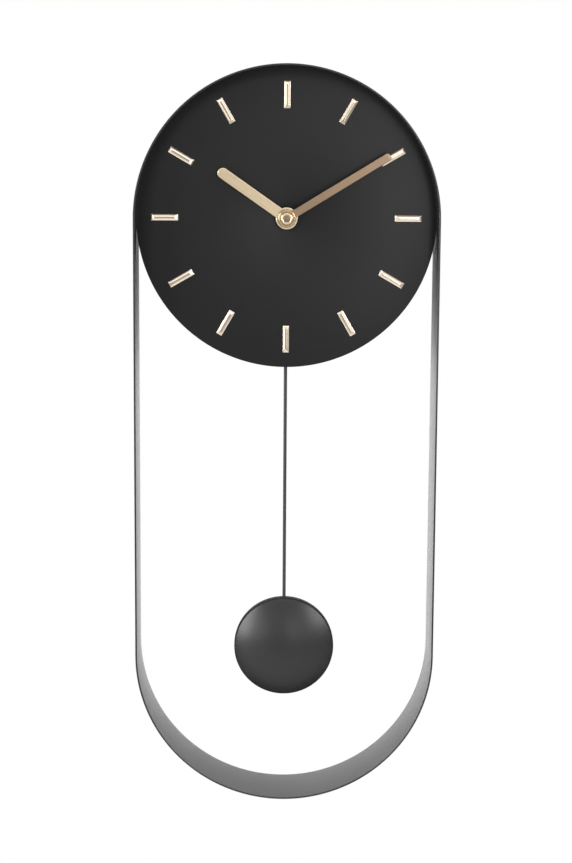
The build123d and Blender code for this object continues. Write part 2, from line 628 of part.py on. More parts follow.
def all_pieces():
    """Every piece by its node name."""
    pieces = {
        "hoop_band": hoop_band(),
        "dial_plate": dial_plate(),
        "hanger_bracket": hanger_bracket(),
        "front_housing": front_housing(),
        "rear_cover": rear_cover(),
        "cover_screws": cover_screws(),
        "dial_gasket": dial_gasket(),
        "centre_bush": centre_bush(),
        "dial_washer": dial_washer(),
        "dial_nut": dial_nut(),
        "hour_hand": hour_hand(),
        "minute_hand": minute_hand(),
        "hand_nut": hand_nut(),
        "minute_arbor": minute_arbor(),
        "minute_wheel": minute_wheel(),
        "minute_wheel_pin": minute_wheel_pin(),
        "hour_wheel": hour_wheel(),
        "setting_knob": setting_knob(),
        "drive_unit": drive_unit(),
        "circuit_board": circuit_board(),
        "motor_coil": motor_coil(),
        "motor_core": motor_core(),
        "battery": battery(),
        "negative_contact": contact(-1),
        "positive_contact": contact(1),
        "pivot_pin": pivot_pin(),
        "pendulum_leader": pendulum_leader(),
        "pendulum_magnet": pendulum_magnet(),
        "pulse_coil": pulse_coil(),
        "pendulum_rod": pendulum_rod(),
        "bob_shell": bob_shell(),
        "bob_back": bob_back(),
    }
    for name, angle in BRACKET_ANGLES.items():
        pieces[f"dial_bracket_{name}"] = dial_bracket(angle)
    for hour in range(1, MARKER_COUNT + 1):
        pieces[f"hour_marker_{hour:02d}"] = hour_marker(hour)
    return pieces


def main():
    os.makedirs("parts", exist_ok=True)
    for name, piece in all_pieces().items():
        export_step(piece, f"parts/{name}.step")
        print(name, round(piece.volume, 1))


main()
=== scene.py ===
# %% [markdown]
# # A pendulum wall clock, dressed in Blender
#
# The clock is a tall hoop of black steel band with a round dial set back inside it, gold bar markers and
# hands, and a pendulum that hangs under the dial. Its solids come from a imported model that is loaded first
# and never moved. What the eye dwells on is then made again as smooth surfaces worked out with numpy, and
# the hidden pieces keep their solids and get finishes. Everything is in metres: X right, Y into the wall,
# Z up.

# %% Load the frame
import math

import bmesh
import bpy
import numpy as np
from mathutils import Matrix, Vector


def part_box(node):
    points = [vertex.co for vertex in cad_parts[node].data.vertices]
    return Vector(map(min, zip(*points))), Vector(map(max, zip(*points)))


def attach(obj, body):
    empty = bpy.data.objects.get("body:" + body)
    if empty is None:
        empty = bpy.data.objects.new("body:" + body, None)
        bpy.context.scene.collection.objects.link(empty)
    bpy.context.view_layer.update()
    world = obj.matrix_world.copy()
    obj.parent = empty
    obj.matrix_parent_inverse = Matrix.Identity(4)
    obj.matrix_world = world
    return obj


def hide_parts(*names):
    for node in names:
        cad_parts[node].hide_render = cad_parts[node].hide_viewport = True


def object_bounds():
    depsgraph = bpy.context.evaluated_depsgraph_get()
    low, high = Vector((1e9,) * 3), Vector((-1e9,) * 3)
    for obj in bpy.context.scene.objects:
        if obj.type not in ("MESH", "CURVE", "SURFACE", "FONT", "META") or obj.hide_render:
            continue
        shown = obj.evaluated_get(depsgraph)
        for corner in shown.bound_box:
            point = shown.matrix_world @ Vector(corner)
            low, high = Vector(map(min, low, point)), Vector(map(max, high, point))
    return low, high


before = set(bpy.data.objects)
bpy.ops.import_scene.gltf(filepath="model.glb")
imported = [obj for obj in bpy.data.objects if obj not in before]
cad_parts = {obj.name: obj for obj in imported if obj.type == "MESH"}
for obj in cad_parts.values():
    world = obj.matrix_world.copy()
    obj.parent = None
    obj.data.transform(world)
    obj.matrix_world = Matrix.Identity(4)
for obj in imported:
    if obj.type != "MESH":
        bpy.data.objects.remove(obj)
cad_low, cad_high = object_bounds()
print("solids:", len(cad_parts), "in the box", np.round([cad_low, cad_high], 4).tolist())

# %% [markdown]
# ## Sizes that several pieces share
#
# A box from the frame gives each piece's place, so nothing is fitted by eye. The band's box gives the hoop's
# radius and the dial's centre: the dial sits at the centre of the hoop's upper half circle. Depths are
# distances out from the wall, which are negative y.

# %% Shared sizes
MM = 0.001


def depth_of(node):
    """The back and the front of a node as distances out from the wall."""
    low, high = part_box(node)
    return -high[1], -low[1]


def half_width(node):
    """Half of a node's width, which is the radius of a round one."""
    low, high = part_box(node)
    return (high[0] - low[0]) / 2


hoop_low, hoop_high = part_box("hoop_band")
HOOP_R = half_width("hoop_band")
DIAL_Z = hoop_high[2] - HOOP_R
LOWER_Z = hoop_low[2] + HOOP_R
BAND_DEPTH = depth_of("hoop_band")[1]
BAND_THICK = 1.2 * MM
print("hoop radius", round(HOOP_R, 4), "dial centre height", round(DIAL_Z, 4))

# %% [markdown]
# ## From arrays to pieces
#
# Every new surface here is a grid of points: rows by columns by three numbers. Numpy works out the whole grid
# at once, and this cell turns it into a mesh. Where a grid closes on itself, its last line is joined to its
# first. Where a whole row meets in one point, as at the top of a dome, the doubled points are merged. Writing
# the mesh from arrays is quicker and easier to check than building it face by face.

# %% Grids to meshes
MERGE_GAP = 1e-7


def grid_faces(rows, columns, wrap_rows, wrap_columns):
    """Corner numbers of the quads between neighbouring rows and columns of a grid."""
    first_rows = np.arange(rows - (not wrap_rows))
    first_columns = np.arange(columns - (not wrap_columns))
    i, j = np.meshgrid(first_rows, first_columns, indexing="ij")
    next_i, next_j = (i + 1) % rows, (j + 1) % columns
    corners = [i * columns + j, next_i * columns + j, next_i * columns + next_j, i * columns + next_j]
    return np.stack(corners, axis=-1).reshape(-1, 4)


def add_piece(name, grid, material, body, replaces=(), wrap=(False, True), sharp=35.0, caps=False):
    """A closed mesh object, riding on a body, from a grid of points or a stack of such grids.

    Edges that turn by more than the angle sharp are kept sharp, and caps closes the two ends of a tube.
    """
    rows, columns = grid.shape[-3:-1]
    starts = rows * columns * np.arange(grid.size // (3 * rows * columns))
    faces = (grid_faces(rows, columns, *wrap) + starts[:, None, None]).reshape(-1, 4).tolist()
    if caps:
        faces += [list(range(columns)), list(range((rows - 1) * columns, rows * columns))]
    mesh = bpy.data.meshes.new(name)
    mesh.from_pydata(grid.reshape(-1, 3), [], faces)
    work = bmesh.new()
    work.from_mesh(mesh)
    bmesh.ops.remove_doubles(work, verts=work.verts, dist=MERGE_GAP)
    bmesh.ops.recalc_face_normals(work, faces=work.faces)
    work.to_mesh(mesh)
    work.free()
    mesh.shade_smooth()
    mesh.set_sharp_from_angle(angle=math.radians(sharp))
    mesh.materials.append(material)
    thing = bpy.data.objects.new(name, mesh)
    bpy.context.scene.collection.objects.link(thing)
    if replaces:
        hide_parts(*replaces)
    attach(thing, body)
    print(name, len(mesh.polygons), "faces")


def arc(centre, radius, start, end, steps):
    """Points on a circle from one angle to another, in degrees: centre plus radius times cosine and sine."""
    angle = np.radians(np.linspace(start, end, steps))
    return np.stack([centre[0] + radius * np.cos(angle), centre[1] + radius * np.sin(angle)], axis=-1)


def lathe(profile, x=0.0, z=0.0, turns=128):
    """A profile of (radius, depth) turned about an axis square to the wall.

    x and z are the axis plus radius times cosine and sine, and y is the depth with its sign changed.
    """
    angle = np.linspace(0, 2 * math.pi, turns, endpoint=False)
    radius, depth = profile[:, :1], profile[:, 1:]
    flat = np.broadcast_to(-depth, (len(profile), turns))
    return np.stack([x + radius * np.cos(angle), flat, z + radius * np.sin(angle)], axis=-1)


def rounded_section(low, high, corner, steps=6):
    """The outline of a rectangle with rounded corners, between two corners of (across, depth)."""
    corners = [(high[0] - corner, high[1] - corner, 0), (low[0] + corner, high[1] - corner, 90),
               (low[0] + corner, low[1] + corner, 180), (high[0] - corner, low[1] + corner, 270)]
    return np.concatenate([arc((x, y), corner, turn, turn + 90, steps) for x, y, turn in corners])


# %% [markdown]
# ## Shader sums as Python
#
# A material is a graph of nodes, and long graphs are hard to read as code. This class wraps one output of a
# node. Adding, subtracting or multiplying two of them writes the Math node, and one method makes any other
# node: its settings first, then a value or a link for each of its sockets. The small functions after it name
# the few sums that every finish here is made of.

# %% Signals
class Signal:
    """One output socket of a shader graph, with arithmetic."""

    def __init__(self, socket):
        self.socket = socket

    def node(self, kind, sockets, output=0, **settings):
        """A new node of a kind in the same graph; returns one of its outputs."""
        node = self.socket.id_data.nodes.new(kind)
        for setting, value in settings.items():
            setattr(node, setting, value)
        for key, value in sockets.items():
            feed(node.inputs[key], value)
        return Signal(node.outputs[output])

    def maths(self, operation, first, second):
        return self.node("ShaderNodeMath", {0: first, 1: second}, operation=operation)

    def __add__(self, other):
        return self.maths("ADD", self, other)

    def __sub__(self, other):
        return self.maths("SUBTRACT", self, other)

    def __rsub__(self, other):
        return self.maths("SUBTRACT", other, self)

    def __mul__(self, other):
        return self.maths("MULTIPLY", self, other)

    __radd__ = __add__
    __rmul__ = __mul__


def feed(socket, value):
    """Links a signal to a socket, or sets its value."""
    if isinstance(value, Signal):
        socket.id_data.links.new(value.socket, socket)
    else:
        socket.default_value = value


def dress(shader, **values):
    """Feeds a shader's sockets by name, with _ for each space of the name."""
    for name, value in values.items():
        feed(shader.inputs[name.replace("_", " ")], value)


def new_finish(name, **constants):
    """A material with the shader's plain numbers set; returns it, its shader and its place signal."""
    material = bpy.data.materials.new(name)
    material.use_nodes = True
    shader = material.node_tree.nodes["Principled BSDF"]
    dress(shader, **constants)
    place = material.node_tree.nodes.new("ShaderNodeTexCoord")
    return material, shader, Signal(place.outputs["Object"])


def rgb(red, green, blue):
    return (red, green, blue, 1.0)


def shade(colour, factor):
    """A colour made lighter or darker by a factor."""
    return rgb(*(factor * level for level in colour[:3]))


def swing(signal, middle, amount):
    """A signal of 0 to 1 spread over an amount about a middle."""
    return signal * amount + (middle - amount / 2)


def spread(signal, start, end, first=0.0, last=1.0, easing="SMOOTHSTEP"):
    """A signal that goes from a first level at start to a last one at end, and stays level beyond them."""
    sockets = {"Value": signal, "From Min": start, "From Max": end, "To Min": first, "To Max": last}
    return signal.node("ShaderNodeMapRange", sockets, interpolation_type=easing)


def noise(place, scale, detail=2.0, stretch=None):
    """Blender's cloud noise over a place, in periods a metre; stretch scales the three axes first."""
    if stretch:
        place = place.node("ShaderNodeMapping", {"Vector": place, "Scale": stretch})
    return place.node("ShaderNodeTexNoise", {"Vector": place, "Scale": scale, "Detail": detail}, output="Fac")


def tint(place, amount, first, second):
    """A colour between two, by an amount from 0 to 1."""
    return place.node("ShaderNodeMix", {0: amount, 6: first, 7: second}, output=2, data_type="RGBA")


def relief(place, height, distance):
    """A normal from a height signal, whose full swing is a distance in metres."""
    return place.node("ShaderNodeBump", {"Height": height, "Distance": distance, "Strength": 1.0})


# %% [markdown]
# ## Black coats
#
# The hoop, dial, rod and bob are steel under a black coat, and so are the brackets behind the dial. On the
# band the coat is satin: seen at a glancing angle it mirrors the white room, which is why the inside of the
# hoop looks grey. The dial is flatter and darker. One recipe serves them all: a near-black colour, a
# roughness that drifts a little from place to place, and the fine orange peel of sprayed powder as bump. On
# the bob's outermost rim the coat is rougher, and its colour is painted near black: painted shade along the
# edge.

# %% Black coats
PEEL_SCALE = 900.0
PEEL_LIGHT = 1.35
PEEL_SWING = 0.04
DRIFT_SCALE = 14.0
DRIFT_SWING = 0.06
RIM_WIDTH = 0.8 * MM
RIM_ROUGHNESS = 0.95
# The rim's near-black colour is painted shade: a dark outline drawn round the bob's edge.
RIM_PAINTED_SHADE = rgb(0.002, 0.002, 0.002)


def black_coat(name, colour, roughness, peel, specular, shaded_rim=None):
    """A sprayed black coat: roughness with a slow drift, and a bump of fine orange peel.

    The rim argument is (height of an axis square to the wall, radius): beyond that radius the coat is rougher
    and its colour is painted near black, as painted shade.
    """
    material, shader, place = new_finish(name, Specular_IOR_Level=specular)
    drift = noise(place, DRIFT_SCALE)
    grain = noise(place, PEEL_SCALE, detail=3.0)
    rough = drift * DRIFT_SWING + swing(grain, roughness - DRIFT_SWING / 2, PEEL_SWING)
    paint = tint(place, grain, colour, shade(colour, PEEL_LIGHT))
    if shaded_rim:
        axis_height, rim_radius = shaded_rim
        flat = place.node("ShaderNodeVectorMath", {0: place, 1: (0, 0, -axis_height)}, operation="ADD")
        flat = flat.node("ShaderNodeVectorMath", {0: flat, 1: (1, 0, 1)}, operation="MULTIPLY")
        radius = flat.node("ShaderNodeVectorMath", {0: flat}, output="Value", operation="LENGTH")
        # Beyond the rim radius the coat is rougher and its colour is painted near black: painted shade.
        rim = radius.maths("GREATER_THAN", radius, rim_radius)
        rough = rough + rim * (RIM_ROUGHNESS - roughness)
        paint = tint(place, rim, paint, RIM_PAINTED_SHADE)
    dress(shader, Base_Color=paint, Roughness=rough, Normal=relief(place, grain, peel))
    return material


bob_low, bob_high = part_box("bob_shell")
BOB_R = half_width("bob_shell")
BOB_Z = (bob_high[2] + bob_low[2]) / 2
band_coat = black_coat("band_satin_black", rgb(0.012, 0.012, 0.013), roughness=0.22, peel=5e-7, specular=0.6)
dial_coat = black_coat("dial_matt_black", rgb(0.003, 0.003, 0.0032), roughness=0.33, peel=1e-6, specular=0.37)
bob_coat = black_coat("bob_satin_black", rgb(0.010, 0.010, 0.0105), roughness=0.37, peel=1e-6, specular=0.47,
                      shaded_rim=(BOB_Z, BOB_R - RIM_WIDTH))
rod_coat = black_coat("rod_black", rgb(0.022, 0.020, 0.020), roughness=0.4, peel=2e-7, specular=0.5)
bracket_coat = black_coat("bracket_black", rgb(0.014, 0.014, 0.015), roughness=0.42, peel=4e-6, specular=0.4)
print("black coats made")

# %% [markdown]
# ## Golds
#
# The hands are thin stampings, brushed along their length and plated champagne gold. Both have one plating:
# the minute hand's colour is painted darker, as painted shade. Brushing is a noise stretched far along one
# direction, so the material turns its coordinates to lie along each hand first. The markers and the nut are
# polished, with only a trace of texture, so that their bevels show as clear light and dark planes.

# %% Golds
HOUR_ANGLE = 304.9
MINUTE_ANGLE = 58.5
STREAK_SCALES = (5200.0, 900.0, 110.0)
STREAK_DARK = 0.9
STREAK_SWING = 0.16
STREAK_DEPTH = 3e-6
CLOUD_SCALE = 260.0
CLOUD_DARK = 0.93
CLOUD_SWING = 0.06


def brushed_gold(name, colour, angle, roughness):
    """Gold brushed along a hand at a clockwise angle: long thin streaks in tone, roughness and height."""
    material, shader, place = new_finish(name, Metallic=1.0)
    turned = place.node("ShaderNodeMapping", {"Vector": place, "Location": (0, 0, -DIAL_Z)})
    turned = turned.node("ShaderNodeMapping", {"Vector": turned, "Rotation": (0, -math.radians(angle), 0)})
    streaks = noise(turned, 1.0, detail=4.0, stretch=STREAK_SCALES)
    dress(shader, Base_Color=tint(place, streaks, shade(colour, STREAK_DARK), colour),
          Roughness=swing(streaks, roughness, STREAK_SWING), Normal=relief(place, streaks, STREAK_DEPTH))
    return material


def polished(name, colour, roughness):
    """Polished metal: a faint cloud in its tone and its roughness, from handling."""
    material, shader, place = new_finish(name, Metallic=1.0)
    cloud = noise(place, CLOUD_SCALE)
    dress(shader, Base_Color=tint(place, cloud, shade(colour, CLOUD_DARK), colour),
          Roughness=swing(cloud, roughness, CLOUD_SWING))
    return material


hour_gold = brushed_gold("hour_hand_gold", rgb(0.85, 0.695, 0.47), HOUR_ANGLE, roughness=0.3)
# The minute hand's colour is painted darker than the hour hand's: painted shade on the same plating.
minute_gold_painted_shade = brushed_gold("minute_hand_gold_painted_shade", rgb(0.36, 0.255, 0.168), MINUTE_ANGLE, roughness=0.3)
marker_gold = polished("marker_gold", rgb(0.94, 0.80, 0.65), roughness=0.16)
nut_gold = polished("nut_gold", rgb(0.86, 0.70, 0.48), roughness=0.22)
boss_gold = polished("boss_gold", rgb(0.62, 0.47, 0.29), roughness=0.22)
# The plug's brass colour is painted dark: painted shade in the nut's dish.
dish_shade_brass = polished("dish_shade_brass", rgb(0.24, 0.18, 0.125), roughness=0.4)
print("golds made")

# %% [markdown]
# ## The hoop
#
# A strip of flat steel, bent round and welded into a racetrack. It could be an extruded outline, but then its
# edges would be razor sharp. Here a rounded section, as thick as the sheet and as deep as the clock, is
# carried along the racetrack: two half circles joined by straight sides. The worn front edge then catches a
# thin line of light, as the real one does.

# %% Hoop
EDGE_ROUND = 0.3 * MM
HOOP_STEPS = 120


def racetrack(steps):
    """The outward directions round a racetrack, and the height of the half circle that each belongs to."""
    upper = np.radians(np.linspace(0, 180, steps))
    lower = upper + math.pi
    angle = np.concatenate([upper, lower])
    out = np.stack([np.cos(angle), np.sin(angle)], axis=-1)
    centre = np.concatenate([np.full(steps, DIAL_Z), np.full(steps, LOWER_Z)])
    return out, centre


def hoop_surface():
    """The section of (radius, depth) carried round the racetrack.

    x is the radius times the outward direction, and z is the same plus the height of the half circle.
    """
    section = rounded_section((HOOP_R - BAND_THICK, 0.0), (HOOP_R, BAND_DEPTH), EDGE_ROUND)
    out, centre = racetrack(HOOP_STEPS)
    radius = section[:, 0]
    x = out[:, :1] * radius
    z = centre[:, None] + out[:, 1:] * radius
    return np.stack([x, np.broadcast_to(-section[:, 1], x.shape), z], axis=-1)


add_piece("hoop", hoop_surface(), band_coat, "case", ["hoop_band"], wrap=(True, True))

# %% [markdown]
# ## The dial
#
# A disc of sheet steel, punched and then sprayed. It sits well back inside the band, so its edge shows as a
# soft dark line. Turning a thin rounded section about the dial's axis gives the slightly rolled edge that
# punching leaves.

# %% Dial
DIAL_R = half_width("dial_plate")
DIAL_BACK, DIAL_FRONT = depth_of("dial_plate")
BUSH_HOLE_R = 5.12 * MM
DIAL_TUCK = 0.3 * MM
DIAL_ROUND = 0.15 * MM
dial_section = rounded_section((BUSH_HOLE_R, DIAL_BACK), (DIAL_R + DIAL_TUCK, DIAL_FRONT), DIAL_ROUND)
dial_surface = lathe(dial_section, z=DIAL_Z, turns=256)
add_piece("dial", dial_surface, dial_coat, "case", ["dial_plate"], wrap=(True, True))

# %% [markdown]
# ## Twelve bar markers
#
# Each hour has an applied metal bar with four bevelled sides and a narrow flat along its middle. It could be
# a box with its edges bevelled by a modifier, but the bevels are most of the bar. So the bar is a stack of
# rectangles, each the outline moved in a little and raised: up the side, in along the bevel, and across the
# flat, with an extra ring beside each crease to round it. One bar is worked out and then turned to the twelve
# hours.

# %% Markers
HOURS = 12
HOUR_STEP = 30
MARKER_RADIUS = 81.5 * MM
MARKER_LENGTH, MARKER_WIDTH = 18.0 * MM, 4.1 * MM
MARKER_SIDE, MARKER_TOP = 0.7 * MM, 1.05 * MM
MARKER_BEVEL, MARKER_END_BEVEL = 1.55 * MM, 2.2 * MM
CREASE = 0.05 * MM
SHOULDER_IN, SHOULDER_DOWN = 0.3 * CREASE, 0.2 * CREASE
FLAT_EASE = 0.25
BAR_SHARP = 60.0


def bar_rings(width, length, side, top, bevel, end_bevel, steps=24):
    """Rectangles stacked from a bar's base to its flat: each is the outline, moved in by an inset and raised.

    A point of the unit square's edge, times the half sizes less the inset, gives its place across and along.
    """
    line = np.linspace(-1, 1, steps, endpoint=False)
    one = np.ones(steps)
    edge_across = np.concatenate([line, one, -line, -one])
    edge_along = np.concatenate([-one, line, one, -line])
    slope = (top - side) / bevel
    middle = min(width, length) / 2
    profile = np.array([
        (middle, 0), (0, 0),
        (0, side - CREASE), (SHOULDER_IN, side - SHOULDER_DOWN), (CREASE, side + slope * CREASE),
        (bevel - CREASE, top - slope * CREASE), (bevel, top - FLAT_EASE * slope * CREASE),
        (bevel + CREASE, top), (middle, top)])
    inset, height = profile[:, :1], profile[:, 1:]
    across = edge_across * (width / 2 - inset)
    along = edge_along * (length / 2 - inset * end_bevel / bevel)
    return across, along, np.broadcast_to(height, across.shape)


across, along, height = bar_rings(
    MARKER_WIDTH, MARKER_LENGTH, MARKER_SIDE, MARKER_TOP, MARKER_BEVEL, MARKER_END_BEVEL)
radial = MARKER_RADIUS + along
for hour in range(1, HOURS + 1):
    turn = math.radians(HOUR_STEP * hour)
    x = across * math.cos(turn) + radial * math.sin(turn)
    z = DIAL_Z - across * math.sin(turn) + radial * math.cos(turn)
    bar = np.stack([x, -DIAL_FRONT - height, z], axis=-1)
    add_piece(f"bar_{hour:02d}", bar, marker_gold, "case", [f"hour_marker_{hour:02d}"], sharp=BAR_SHARP)

# %% [markdown]
# ## The markers' feet
#
# Each bar has two feet that pass through the dial. Behind it they are spread to low rivet heads, which are
# seen when the clock is taken off the wall. One dome is worked out, and the twenty-four places shift copies
# of it in one sum.

# %% Feet
FOOT_SPACING = 10.0 * MM
RIVET_R, RIVET_RISE = 1.3 * MM, 0.45 * MM
swell = np.radians(np.linspace(0, 90, 8))
rivet_dome = np.stack([RIVET_R * np.cos(swell), DIAL_BACK - RIVET_RISE * np.sin(swell)], axis=-1)
rivet_base = [(0, DIAL_BACK + RIVET_RISE), (RIVET_R, DIAL_BACK + RIVET_RISE)]
rivet = lathe(np.concatenate([rivet_base, rivet_dome]), turns=20)
turns = np.radians(np.repeat(HOUR_STEP * np.arange(HOURS), 2))
reach = MARKER_RADIUS + FOOT_SPACING * np.tile([-0.5, 0.5], HOURS)
places = np.stack([reach * np.sin(turns), np.zeros(len(turns)), DIAL_Z + reach * np.cos(turns)], axis=-1)
add_piece("marker_rivets", rivet + places[:, None, None, :], marker_gold, "case")

# %% [markdown]
# ## The hands
#
# Two flat stampings with round bosses. The hour hand ends in a half circle and the minute hand is squarer.
# Seen from its boss, every point of such an outline is in plain sight, so the flat face can be spread between
# the outline and the bore: one row of points lies on the outline, the next a little inside it, and the last
# on the bore. The rows near the edge follow a rounded bevel, which shows as a lighter line down both sides.

# %% Hands
HAND_BEVEL = 0.42 * MM
SHORTEST_STEP = 1e-12
BACK_SHARES = np.array([1.0, 0.5])
FLAT_SHARES = np.array([0.02, 0.5, 1.0])
HOUR_SIZES = {"length": 55.4 * MM, "width": 7.2 * MM, "boss": 7.3 * MM, "tip": 3.55 * MM}
MINUTE_SIZES = {"length": 80.0 * MM, "width": 5.2 * MM, "boss": 6.0 * MM, "tip": 1.6 * MM}
HOUR_BORE_R, MINUTE_BORE_R = 2.6 * MM, 1.6 * MM


def hand_outline(length, width, boss, tip):
    """A closed counter-clockwise outline of a boss and a blade that points up.

    It is the boss's arc, one side, the two rounded corners of the tip, and the other side.
    """
    half = width / 2
    lean = math.degrees(math.asin(half / boss))
    around = arc((0, 0), boss, 90 + lean, 450 - lean, 90)
    side = np.linspace(around[-1, 1], length - tip, 60)[1:-1]
    right = np.stack([np.full(len(side), half), side], axis=-1)
    corner = arc((half - tip, length - tip), tip, 0, 90, 20)
    left_corner = corner[::-1] * (-1, 1)
    left = right[::-1] * (-1, 1)
    return np.concatenate([around, right, corner, left_corner, left])


def inward(outline):
    """Unit directions into a counter-clockwise outline: the step along it at each point, turned left."""
    step = np.roll(outline, -1, axis=0) - np.roll(outline, 1, axis=0)
    into = np.stack([-step[:, 1], step[:, 0]], axis=-1)
    return into / np.maximum(np.linalg.norm(into, axis=1, keepdims=True), SHORTEST_STEP)


def hand_surface(outline, bore, back, front, angle):
    """Loops from the bore over the back, round the edge and over the front, turned to an angle."""
    ring = bore * outline / np.linalg.norm(outline, axis=1, keepdims=True)
    bevel = arc((HAND_BEVEL, front - HAND_BEVEL), HAND_BEVEL, 180, 90, 6)
    edge = np.concatenate([[(0.0, back)], bevel])
    sides = outline + edge[:, 0, None, None] * inward(outline)
    flats = sides[-1] + FLAT_SHARES[:, None, None] * (ring - sides[-1])
    backs = outline + BACK_SHARES[:, None, None] * (ring - outline)
    plane = np.concatenate([backs, sides, flats])
    depth = np.concatenate([np.full(len(backs), back), edge[:, 1], np.full(len(flats), front)])
    turn = math.radians(angle)
    x = plane[..., 0] * math.cos(turn) + plane[..., 1] * math.sin(turn)
    z = DIAL_Z - plane[..., 0] * math.sin(turn) + plane[..., 1] * math.cos(turn)
    return np.stack([x, np.broadcast_to(-depth[:, None], x.shape), z], axis=-1)


hour_surface = hand_surface(hand_outline(**HOUR_SIZES), HOUR_BORE_R, *depth_of("hour_hand"), HOUR_ANGLE)
add_piece("hour_blade", hour_surface, hour_gold, "hour", ["hour_hand"], wrap=(True, True))
minute_surface = hand_surface(
    hand_outline(**MINUTE_SIZES), MINUTE_BORE_R, *depth_of("minute_hand"), MINUTE_ANGLE)
add_piece("minute_blade", minute_surface, minute_gold_painted_shade, "minute", ["minute_hand"], wrap=(True, True))

# %% [markdown]
# ## The hand nut
#
# A small round nut, turned from bar, dished in front so that the end of the arbor sits in it. Its rounded lip
# is what glints at the centre of the dial. It is a closed section turned about the dial's axis. A low domed
# plug of brass closes the dish, its colour painted dark as painted shade in the dish.

# %% Hand nut
NUT_R, NUT_DISH_R, NUT_BORE_R = 3.85 * MM, 2.45 * MM, 1.6 * MM
NUT_DISH = 0.7 * MM
NUT_LIP = 0.6 * MM
PLUG_R, PLUG_RISE, PLUG_CROWN_R = 2.35 * MM, 0.3 * MM, 11.0 * MM
nut_back, nut_front = depth_of("hand_nut")
dish_floor = nut_front - NUT_DISH
lip_outer = arc((NUT_R - NUT_LIP, nut_front - NUT_LIP), NUT_LIP, 0, 90, 10)
lip_inner = arc((NUT_DISH_R + NUT_LIP, nut_front - NUT_LIP), NUT_LIP, 90, 180, 10)
nut_section = np.concatenate([
    [(NUT_BORE_R, nut_back), (NUT_R, nut_back)], lip_outer, lip_inner,
    [(NUT_DISH_R, dish_floor), (NUT_BORE_R, dish_floor)]])
nut_surface = lathe(nut_section, z=DIAL_Z, turns=96)
add_piece("nut", nut_surface, nut_gold, "minute", ["hand_nut"], wrap=(True, True))

plug_start = 90 - math.degrees(PLUG_R / PLUG_CROWN_R)
plug_crown = arc((0, dish_floor + PLUG_RISE - PLUG_CROWN_R), PLUG_CROWN_R, plug_start, 90, 8)
plug_base = [(0, dish_floor - PLUG_RISE), (PLUG_R, dish_floor - PLUG_RISE)]
plug_section = np.concatenate([plug_base, plug_crown])
# The plug's dark colour is painted shade in the dish.
add_piece("plug", lathe(plug_section, z=DIAL_Z, turns=64), dish_shade_brass, "minute")

# %% [markdown]
# ## The minute hand's collet
#
# A thin hand grips its arbor through a collet, a ring riveted into its boss. The ring stands a little proud
# of the hand, with a dark gap between it and the nut, and its rounded shoulders draw a circle of light. It is
# a rounded section turned about the dial's axis.

# %% Collet
COLLET_BORE_R, COLLET_R = 4.55 * MM, 5.75 * MM
COLLET_ROUND = 0.34 * MM
collet_base = depth_of("minute_hand")[1]
collet_section = rounded_section(
    (COLLET_BORE_R, collet_base - COLLET_ROUND), (COLLET_R, collet_base + COLLET_ROUND), COLLET_ROUND)
add_piece("collet", lathe(collet_section, z=DIAL_Z, turns=128), boss_gold, "minute", wrap=(True, True))

# %% [markdown]
# ## The pendulum's rod and bob
#
# The rod is one steel wire, hooked at its top over the movement's swinging leader. A circle carried along the
# path makes it: straight up, round a half circle, and a short tail. The bob is pressed from sheet, a shallow
# crown with a quickly rounded edge. Turning that section with many steps keeps the reflections on the dome
# free of flats.

# %% Rod and bob
rod_low, rod_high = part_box("pendulum_rod")
ROD_R = half_width("pendulum_rod")
ROD_DEPTH = -rod_low[1] - ROD_R
HOOK_R = (rod_high[1] - rod_low[1]) / 2 - ROD_R
HOOK_TAIL = 4.0 * MM
BEND_Z = rod_high[2] - ROD_R - HOOK_R
ROD_STEPS, BEND_STEPS, TAIL_STEPS, ROD_TURNS = 40, 40, 6, 32


def wire_surface():
    """A circle carried along the rod's path in the plane x = 0, each ring across the path's direction."""
    rise = np.linspace(rod_low[2], BEND_Z, ROD_STEPS)
    straight = np.stack([np.full(len(rise), -ROD_DEPTH), rise], axis=-1)
    bend = arc((-ROD_DEPTH + HOOK_R, BEND_Z), HOOK_R, 180, 0, BEND_STEPS)[1:]
    fall = np.linspace(BEND_Z, BEND_Z - HOOK_TAIL, TAIL_STEPS)[1:]
    tail = np.stack([np.full(len(fall), bend[-1, 0]), fall], axis=-1)
    path = np.concatenate([straight, bend, tail])
    along = np.gradient(path, axis=0)
    along /= np.linalg.norm(along, axis=1, keepdims=True)
    across = np.stack([along[:, 1], -along[:, 0]], axis=-1)
    angle = np.linspace(0, 2 * math.pi, ROD_TURNS, endpoint=False)
    x = np.broadcast_to(ROD_R * np.cos(angle), (len(path), len(angle)))
    y = path[:, :1] + across[:, :1] * ROD_R * np.sin(angle)
    z = path[:, 1:] + across[:, 1:] * ROD_R * np.sin(angle)
    return np.stack([x, y, z], axis=-1)


add_piece("rod", wire_surface(), rod_coat, "pendulum", ["pendulum_rod"], caps=True)

BOB_FLOOR, BOB_APEX = depth_of("bob_shell")
BOB_CROWN_R, BOB_EDGE_R, BOB_WALL = 62.0 * MM, 1.5 * MM, 0.8 * MM
BOB_EDGE_STEPS, BOB_CROWN_STEPS = 40, 48


def dome_line(inset):
    """Half the bob's section from rim to apex: a short wall, the edge's arc and the crown's larger arc."""
    edge_x = BOB_R - BOB_EDGE_R
    crown_y = BOB_APEX - BOB_CROWN_R
    edge_y = crown_y + math.sqrt((BOB_CROWN_R - BOB_EDGE_R) ** 2 - edge_x**2)
    meet = math.degrees(math.atan2(edge_y - crown_y, edge_x))
    edge = arc((edge_x, edge_y), BOB_EDGE_R - inset, 0, meet, BOB_EDGE_STEPS)
    crown = arc((0, crown_y), BOB_CROWN_R - inset, meet, 90, BOB_CROWN_STEPS)[1:]
    return np.concatenate([[(BOB_R - inset, BOB_FLOOR)], edge, crown])


